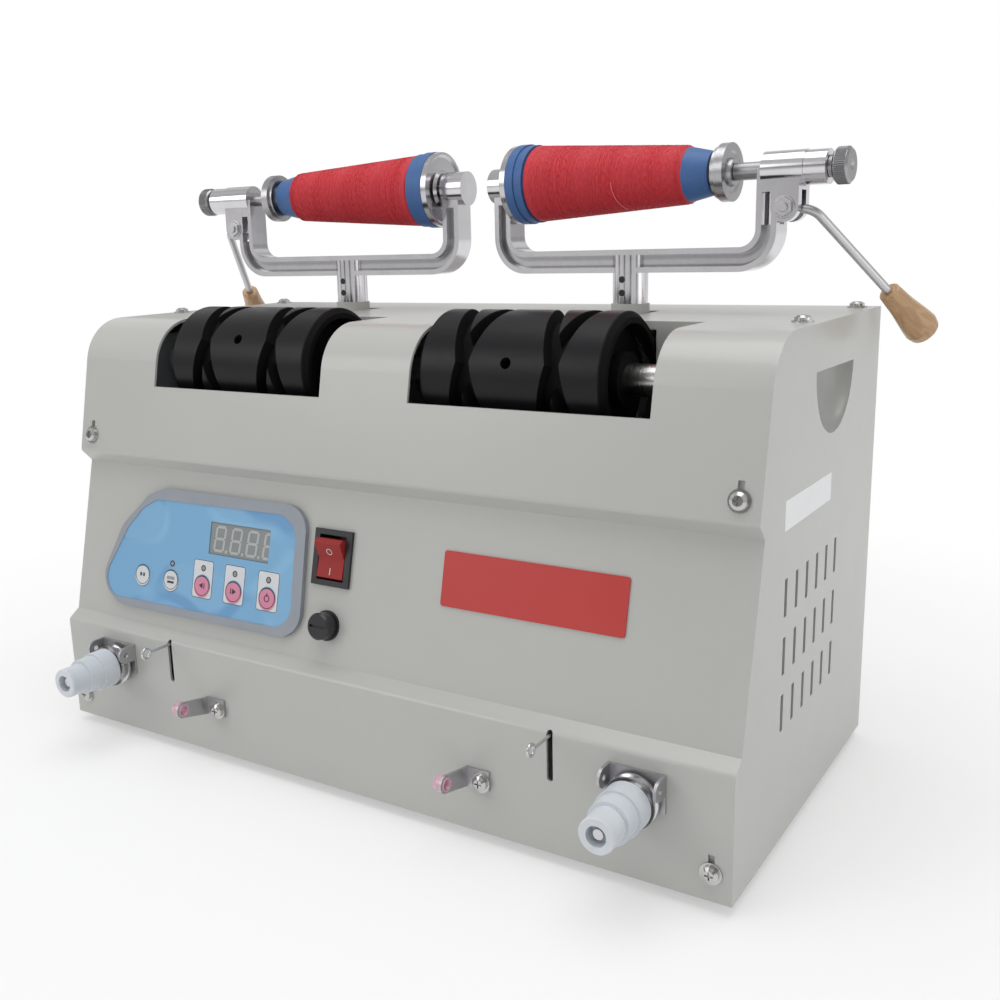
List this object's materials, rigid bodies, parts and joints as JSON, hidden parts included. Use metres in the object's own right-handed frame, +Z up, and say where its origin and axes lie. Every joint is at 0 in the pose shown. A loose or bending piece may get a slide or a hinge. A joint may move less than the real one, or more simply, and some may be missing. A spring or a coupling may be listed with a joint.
{
  "type": "cone winding machine",
  "caption": "Two-head bench winder that winds sewing thread onto tapered cones: grooved drums behind windows, tilting cradles, sloping control panel.",
  "frame": {"origin": "on the floor under the middle of the overall size", "axes": "+X to the right as seen from the front, along the case; +Y to the back; +Z up; the control panel faces -Y"},
  "size_m": [0.515, 0.2678, 0.357],
  "materials": {
    "case_enamel": "satin",
    "screw_steel": "bright",
    "foot_rubber": "matte",
    "label_red": "gloss",
    "bezel_grey": "satin",
    "bezel_black": "satin",
    "overlay_blue": "satin",
    "display_dark": "gloss",
    "key_pale": "satin",
    "key_pink": "satin",
    "rocker_red": "gloss",
    "stand_paint": "matte",
    "pulley_alloy": "satin",
    "drum_plastic": "satin",
    "carrier_paint": "satin",
    "chrome": "polished",
    "core_blue": "satin",
    "thread_red": "matte",
    "grip_wood": "varnished",
    "cap_nylon": "satin",
    "eye_ceramic": "gloss"
  },
  "bodies": {
    "case": {"hood_cover": "case_enamel", "front_cover": "case_enamel", "rear_panel": "case_enamel", "base_plate": "case_enamel", "side_panel_right": "case_enamel", "side_panel_left": "case_enamel", "rubber_feet": "foot_rubber", "cover_screws": "screw_steel", "label_plate": "label_red", "control_bezel": "bezel_grey", "control_overlay": "overlay_blue", "display_board": "display_dark", "rocker_housing": "bezel_black", "fuse_holder": "bezel_black", "mains_inlet": "bezel_black", "bearing_stands": "stand_paint", "drive_motor": "stand_paint", "drive_belt": "foot_rubber", "cradle_brackets": "screw_steel", "tension_brackets": "screw_steel", "tension_studs": "screw_steel", "tension_discs": "chrome", "guide_brackets": "screw_steel", "guide_eyes": "eye_ceramic", "drop_wire_switches": "bezel_black"},
    "drums": {"drum_shaft": "screw_steel", "drum_right": "drum_plastic", "drum_left": "drum_plastic", "drum_pulley": "pulley_alloy"},
    "motor_rotor": {"motor_pulley": "pulley_alloy"},
    "rocker": {"rocker_paddle": "rocker_red"},
    "key_1": {"key_1": "key_pale"},
    "key_2": {"key_2": "key_pale"},
    "key_3": {"key_3": "key_pink"},
    "key_4": {"key_4": "key_pink"},
    "key_5": {"key_5": "key_pink"},
    "cradle_right": {"cradle_carrier_right": "carrier_paint", "cradle_frame_right": "chrome", "cradle_fasteners_right": "screw_steel"},
    "cone_right": {"big_end_centre_right": "chrome", "cone_core_right": "core_blue", "thread_package_right": "thread_red"},
    "spindle_right": {"spindle_right": "screw_steel"},
    "small_centre_right": {"small_end_centre_right": "chrome"},
    "lever_right": {"lever_rod_right": "chrome", "lever_handle_right": "grip_wood"},
    "cap_right": {"tension_cap_right": "cap_nylon"},
    "wire_right": {"drop_wire_right": "screw_steel"},
    "cradle_left": {"cradle_carrier_left": "carrier_paint", "cradle_frame_left": "chrome", "cradle_fasteners_left": "screw_steel"},
    "cone_left": {"big_end_centre_left": "chrome", "cone_core_left": "core_blue", "thread_package_left": "thread_red"},
    "spindle_left": {"spindle_left": "screw_steel"},
    "small_centre_left": {"small_end_centre_left": "chrome"},
    "lever_left": {"lever_rod_left": "chrome", "lever_handle_left": "grip_wood"},
    "cap_left": {"tension_cap_left": "cap_nylon"},
    "wire_left": {"drop_wire_left": "screw_steel"}
  },
  "joints": [
    {"name": "drum_spin", "type": "hinge", "parent": "case", "child": "drums", "pos_m": [0, -0.01995, 0.2324], "axis": [1, 0, 0], "continuous": true},
    {"name": "motor_spin", "type": "hinge", "parent": "case", "child": "motor_rotor", "pos_m": [0.193, 0.06505, 0.068], "axis": [1, 0, 0], "continuous": true},
    {"name": "rocker_tip", "type": "hinge", "parent": "case", "child": "rocker", "pos_m": [-0.016, -0.06962, 0.13241], "axis": [1, 0, 0], "range_deg": [-27.6, 0]},
    {"name": "key_1_press", "type": "slide", "parent": "case", "child": "key_1", "axis": [0, 0.9736, -0.2285], "range_m": [0, 0.0004], "stiffness_N_per_m": 500, "springref_m": -0.001},
    {"name": "key_2_press", "type": "slide", "parent": "case", "child": "key_2", "axis": [0, 0.9736, -0.2285], "range_m": [0, 0.0004], "stiffness_N_per_m": 500, "springref_m": -0.001},
    {"name": "key_3_press", "type": "slide", "parent": "case", "child": "key_3", "axis": [0, 0.9736, -0.2285], "range_m": [0, 0.0004], "stiffness_N_per_m": 500, "springref_m": -0.001},
    {"name": "key_4_press", "type": "slide", "parent": "case", "child": "key_4", "axis": [0, 0.9736, -0.2285], "range_m": [0, 0.0004], "stiffness_N_per_m": 500, "springref_m": -0.001},
    {"name": "key_5_press", "type": "slide", "parent": "case", "child": "key_5", "axis": [0, 0.9736, -0.2285], "range_m": [0, 0.0004], "stiffness_N_per_m": 500, "springref_m": -0.001},
    {"name": "cradle_swing_right", "type": "hinge", "parent": "case", "child": "cradle_right", "pos_m": [0.1015, 0.05605, 0.2555], "axis": [1, 0, 0], "range_deg": [0, 68]},
    {"name": "cone_spin_right", "type": "hinge", "parent": "cradle_right", "child": "cone_right", "pos_m": [0.1015, 0.06205, 0.3343], "axis": [0.9986, -0.0523, 0], "continuous": true},
    {"name": "lever_press_right", "type": "hinge", "parent": "cradle_right", "child": "lever_right", "pos_m": [0.19337, 0.05724, 0.3152], "axis": [0.0523, 0.9986, 0], "range_deg": [0, 6.5], "stiffness_Nm_per_rad": 0.31, "springref_deg": -16.04},
    {"name": "spindle_slide_right", "type": "slide", "parent": "cradle_right", "child": "spindle_right", "axis": [0.9986, -0.0523, 0], "range_m": [0, 0.0017]},
    {"name": "small_centre_spin_right", "type": "hinge", "parent": "spindle_right", "child": "small_centre_right", "pos_m": [0.1015, 0.06205, 0.3343], "axis": [0.9986, -0.0523, 0], "continuous": true},
    {"name": "cap_turn_right", "type": "hinge", "parent": "case", "child": "cap_right", "pos_m": [0.178, -0.09175, 0.049], "axis": [0, 1, 0], "range_deg": [-180, 180]},
    {"name": "wire_drop_right", "type": "hinge", "parent": "case", "child": "wire_right", "pos_m": [0.1318, -0.04995, 0.0684], "axis": [1, 0, 0], "range_deg": [0, 26], "stiffness_Nm_per_rad": 0.02, "springref_deg": -11.46},
    {"name": "cradle_swing_left", "type": "hinge", "parent": "case", "child": "cradle_left", "pos_m": [-0.1015, 0.05605, 0.2555], "axis": [1, 0, 0], "range_deg": [0, 68]},
    {"name": "cone_spin_left", "type": "hinge", "parent": "cradle_left", "child": "cone_left", "pos_m": [-0.1015, 0.06205, 0.3343], "axis": [0.9986, 0.0523, 0], "continuous": true},
    {"name": "lever_press_left", "type": "hinge", "parent": "cradle_left", "child": "lever_left", "pos_m": [-0.19337, 0.05724, 0.3152], "axis": [0.0523, -0.9986, 0], "range_deg": [0, 6.5], "stiffness_Nm_per_rad": 0.31, "springref_deg": -16.04},
    {"name": "spindle_slide_left", "type": "slide", "parent": "cradle_left", "child": "spindle_left", "axis": [-0.9986, -0.0523, 0], "range_m": [0, 0.0017]},
    {"name": "small_centre_spin_left", "type": "hinge", "parent": "spindle_left", "child": "small_centre_left", "pos_m": [-0.1015, 0.06205, 0.3343], "axis": [0.9986, 0.0523, 0], "continuous": true},
    {"name": "cap_turn_left", "type": "hinge", "parent": "case", "child": "cap_left", "pos_m": [-0.178, -0.09175, 0.049], "axis": [0, 1, 0], "range_deg": [-180, 180]},
    {"name": "wire_drop_left", "type": "hinge", "parent": "case", "child": "wire_left", "pos_m": [-0.1318, -0.04995, 0.0684], "axis": [1, 0, 0], "range_deg": [0, 26], "stiffness_Nm_per_rad": 0.02, "springref_deg": -11.46}
  ],
  "couplings": [
    {"joint": "motor_spin", "follows": "drum_spin", "ratio": 1},
    {"joint": "spindle_slide_right", "follows": "lever_press_right", "m_per_rad": 0.01432},
    {"joint": "small_centre_spin_right", "follows": "cone_spin_right", "ratio": 1},
    {"joint": "spindle_slide_left", "follows": "lever_press_left", "m_per_rad": 0.01432},
    {"joint": "small_centre_spin_left", "follows": "cone_spin_left", "ratio": 1}
  ]
}
